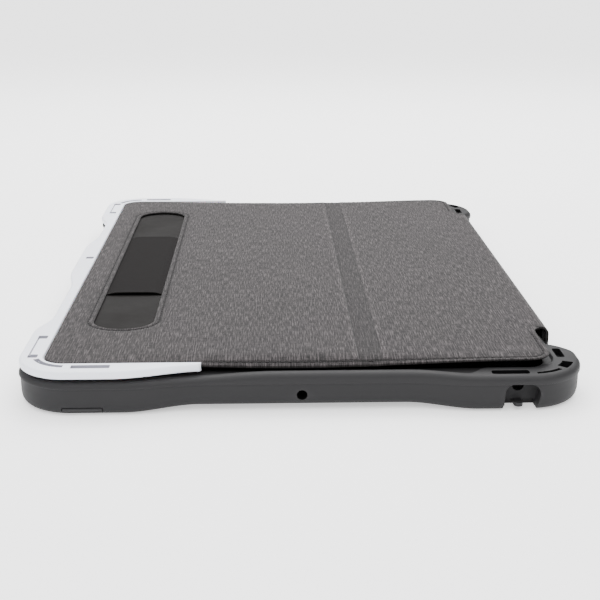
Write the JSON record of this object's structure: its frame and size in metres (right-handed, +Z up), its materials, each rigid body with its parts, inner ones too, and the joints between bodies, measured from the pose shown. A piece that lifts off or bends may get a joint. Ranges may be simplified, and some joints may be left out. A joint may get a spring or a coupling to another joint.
{
  "type": "tablet keyboard case",
  "caption": "Rugged tablet case with thick bumper corners, a folding fabric cover that holds a keyboard, a stylus window with an elastic band, and a kickstand in its back.",
  "frame": {"origin": "centre of the footprint, on the surface that the closed case lies on", "axes": "+Y along the long side, +X across the short side towards the fabric spine, +Z up through the cover"},
  "size_m": [0.195, 0.269, 0.016],
  "materials": {
    "bumper": "soft-touch matte dark grey",
    "shell": "fine-grained matte dark grey",
    "frame": "satin pale lavender white",
    "fabric": "heather grey woven",
    "lining": "dark microfibre",
    "board": "plain stiffener",
    "window": "smooth dark grey",
    "elastic": "fine black webbing",
    "key": "matte dark grey, unmarked",
    "membrane": "grey silicone",
    "circuit": "green solder mask",
    "flex": "copper-coloured film",
    "steel": "brushed",
    "contact": "gold plated"
  },
  "bodies": {
    "shell": {"rear_shell": "shell", "bumper": "bumper", "hinge_bracket_near": "steel", "hinge_bracket_far": "steel", "connector_block": "shell", "connector_contacts": "contact", "spine_anchor_strip": "steel"},
    "kickstand": {"kickstand_plate": "shell", "kickstand_grip": "membrane", "kickstand_pin_near": "steel", "kickstand_pin_far": "steel"},
    "power": {"power_button": "bumper"},
    "volume_up": {"volume_up_button": "bumper"},
    "volume_down": {"volume_down_button": "bumper"},
    "spine": {"spine_board": "board", "spine_flex": "flex", "spine_skin": "fabric"},
    "panel": {"panel_skin": "fabric", "panel_board": "board", "panel_lining": "lining", "panel_flex": "flex"},
    "strip": {"fold_skin": "fabric", "fold_lining": "lining", "fold_flex": "flex"},
    "keyboard": {"keyboard_tray": "frame", "keyboard_skin": "fabric", "stylus_pan": "window", "elastic_band": "elastic", "key_deck": "window", "dome_sheet": "membrane", "circuit_board": "circuit", "closure_magnet_near": "steel", "closure_magnet_far": "steel"},
    "cap_globe": {"key_globe": "key"},
    "cap_control": {"key_control": "key"},
    "cap_option_left": {"key_option_left": "key"},
    "cap_command_left": {"key_command_left": "key"},
    "cap_space": {"key_space": "key"},
    "cap_command_right": {"key_command_right": "key"},
    "cap_option_right": {"key_option_right": "key"},
    "cap_arrow_left": {"key_arrow_left": "key"},
    "cap_arrow_down": {"key_arrow_down": "key"},
    "cap_arrow_up": {"key_arrow_up": "key"},
    "cap_arrow_right": {"key_arrow_right": "key"},
    "cap_shift_left": {"key_shift_left": "key"},
    "cap_shift_right": {"key_shift_right": "key"},
    "cap_caps_lock": {"key_caps_lock": "key"},
    "cap_return": {"key_return": "key"},
    "cap_tab": {"key_tab": "key"},
    "cap_backspace": {"key_backspace": "key"},
    "caps_row_2": {"keys_row_2": "key"},
    "caps_row_3": {"keys_row_3": "key"},
    "caps_row_4": {"keys_row_4": "key"},
    "caps_row_5": {"keys_row_5": "key"},
    "caps_row_6": {"keys_row_6": "key"}
  },
  "joints": [
    {"name": "spine_low", "type": "hinge", "parent": "shell", "child": "spine", "pos_m": [0.0922, 0, 0.0045], "axis": [0, 1, 0], "range_deg": [0, 180]},
    {"name": "spine_top", "type": "hinge", "parent": "spine", "child": "panel", "pos_m": [0.0922, 0, 0.016], "axis": [0, 1, 0], "range_deg": [0, 180]},
    {"name": "fold_inner", "type": "hinge", "parent": "panel", "child": "strip", "pos_m": [0.0276, 0, 0.016], "axis": [0, -1, 0], "range_deg": [-90, 0]},
    {"name": "fold_outer", "type": "hinge", "parent": "strip", "child": "keyboard", "pos_m": [0.0198, 0, 0.016], "axis": [0, -1, 0], "range_deg": [-90, 0]},
    {"name": "kickstand_hinge", "type": "hinge", "parent": "shell", "child": "kickstand", "pos_m": [0.0042, 0, 0.0015], "axis": [0, -1, 0], "range_deg": [-110, 0]},
    {"name": "power_press", "type": "slide", "parent": "shell", "child": "power", "axis": [0, 1, 0], "range_m": [0, 0.0005], "stiffness_N_per_m": 400},
    {"name": "volume_up_press", "type": "slide", "parent": "shell", "child": "volume_up", "axis": [1, 0, 0], "range_m": [0, 0.0005], "stiffness_N_per_m": 400},
    {"name": "volume_down_press", "type": "slide", "parent": "shell", "child": "volume_down", "axis": [1, 0, 0], "range_m": [0, 0.0005], "stiffness_N_per_m": 400},
    {"name": "press_cap_globe", "type": "slide", "parent": "keyboard", "child": "cap_globe", "axis": [0, 0, 1], "range_m": [0, 0.0006], "stiffness_N_per_m": 600},
    {"name": "press_cap_control", "type": "slide", "parent": "keyboard", "child": "cap_control", "axis": [0, 0, 1], "range_m": [0, 0.0006], "stiffness_N_per_m": 600},
    {"name": "press_cap_option_left", "type": "slide", "parent": "keyboard", "child": "cap_option_left", "axis": [0, 0, 1], "range_m": [0, 0.0006], "stiffness_N_per_m": 600},
    {"name": "press_cap_command_left", "type": "slide", "parent": "keyboard", "child": "cap_command_left", "axis": [0, 0, 1], "range_m": [0, 0.0006], "stiffness_N_per_m": 600},
    {"name": "press_cap_space", "type": "slide", "parent": "keyboard", "child": "cap_space", "axis": [0, 0, 1], "range_m": [0, 0.0006], "stiffness_N_per_m": 600},
    {"name": "press_cap_command_right", "type": "slide", "parent": "keyboard", "child": "cap_command_right", "axis": [0, 0, 1], "range_m": [0, 0.0006], "stiffness_N_per_m": 600},
    {"name": "press_cap_option_right", "type": "slide", "parent": "keyboard", "child": "cap_option_right", "axis": [0, 0, 1], "range_m": [0, 0.0006], "stiffness_N_per_m": 600},
    {"name": "press_cap_arrow_left", "type": "slide", "parent": "keyboard", "child": "cap_arrow_left", "axis": [0, 0, 1], "range_m": [0, 0.0006], "stiffness_N_per_m": 600},
    {"name": "press_cap_arrow_down", "type": "slide", "parent": "keyboard", "child": "cap_arrow_down", "axis": [0, 0, 1], "range_m": [0, 0.0006], "stiffness_N_per_m": 600},
    {"name": "press_cap_arrow_up", "type": "slide", "parent": "keyboard", "child": "cap_arrow_up", "axis": [0, 0, 1], "range_m": [0, 0.0006], "stiffness_N_per_m": 600},
    {"name": "press_cap_arrow_right", "type": "slide", "parent": "keyboard", "child": "cap_arrow_right", "axis": [0, 0, 1], "range_m": [0, 0.0006], "stiffness_N_per_m": 600},
    {"name": "press_cap_shift_left", "type": "slide", "parent": "keyboard", "child": "cap_shift_left", "axis": [0, 0, 1], "range_m": [0, 0.0006], "stiffness_N_per_m": 600},
    {"name": "press_cap_shift_right", "type": "slide", "parent": "keyboard", "child": "cap_shift_right", "axis": [0, 0, 1], "range_m": [0, 0.0006], "stiffness_N_per_m": 600},
    {"name": "press_cap_caps_lock", "type": "slide", "parent": "keyboard", "child": "cap_caps_lock", "axis": [0, 0, 1], "range_m": [0, 0.0006], "stiffness_N_per_m": 600},
    {"name": "press_cap_return", "type": "slide", "parent": "keyboard", "child": "cap_return", "axis": [0, 0, 1], "range_m": [0, 0.0006], "stiffness_N_per_m": 600},
    {"name": "press_cap_tab", "type": "slide", "parent": "keyboard", "child": "cap_tab", "axis": [0, 0, 1], "range_m": [0, 0.0006], "stiffness_N_per_m": 600},
    {"name": "press_cap_backspace", "type": "slide", "parent": "keyboard", "child": "cap_backspace", "axis": [0, 0, 1], "range_m": [0, 0.0006], "stiffness_N_per_m": 600},
    {"name": "press_caps_row_2", "type": "slide", "parent": "keyboard", "child": "caps_row_2", "axis": [0, 0, 1], "range_m": [0, 0.0006], "stiffness_N_per_m": 600},
    {"name": "press_caps_row_3", "type": "slide", "parent": "keyboard", "child": "caps_row_3", "axis": [0, 0, 1], "range_m": [0, 0.0006], "stiffness_N_per_m": 600},
    {"name": "press_caps_row_4", "type": "slide", "parent": "keyboard", "child": "caps_row_4", "axis": [0, 0, 1], "range_m": [0, 0.0006], "stiffness_N_per_m": 600},
    {"name": "press_caps_row_5", "type": "slide", "parent": "keyboard", "child": "caps_row_5", "axis": [0, 0, 1], "range_m": [0, 0.0006], "stiffness_N_per_m": 600},
    {"name": "press_caps_row_6", "type": "slide", "parent": "keyboard", "child": "caps_row_6", "axis": [0, 0, 1], "range_m": [0, 0.0006], "stiffness_N_per_m": 600}
  ]
}
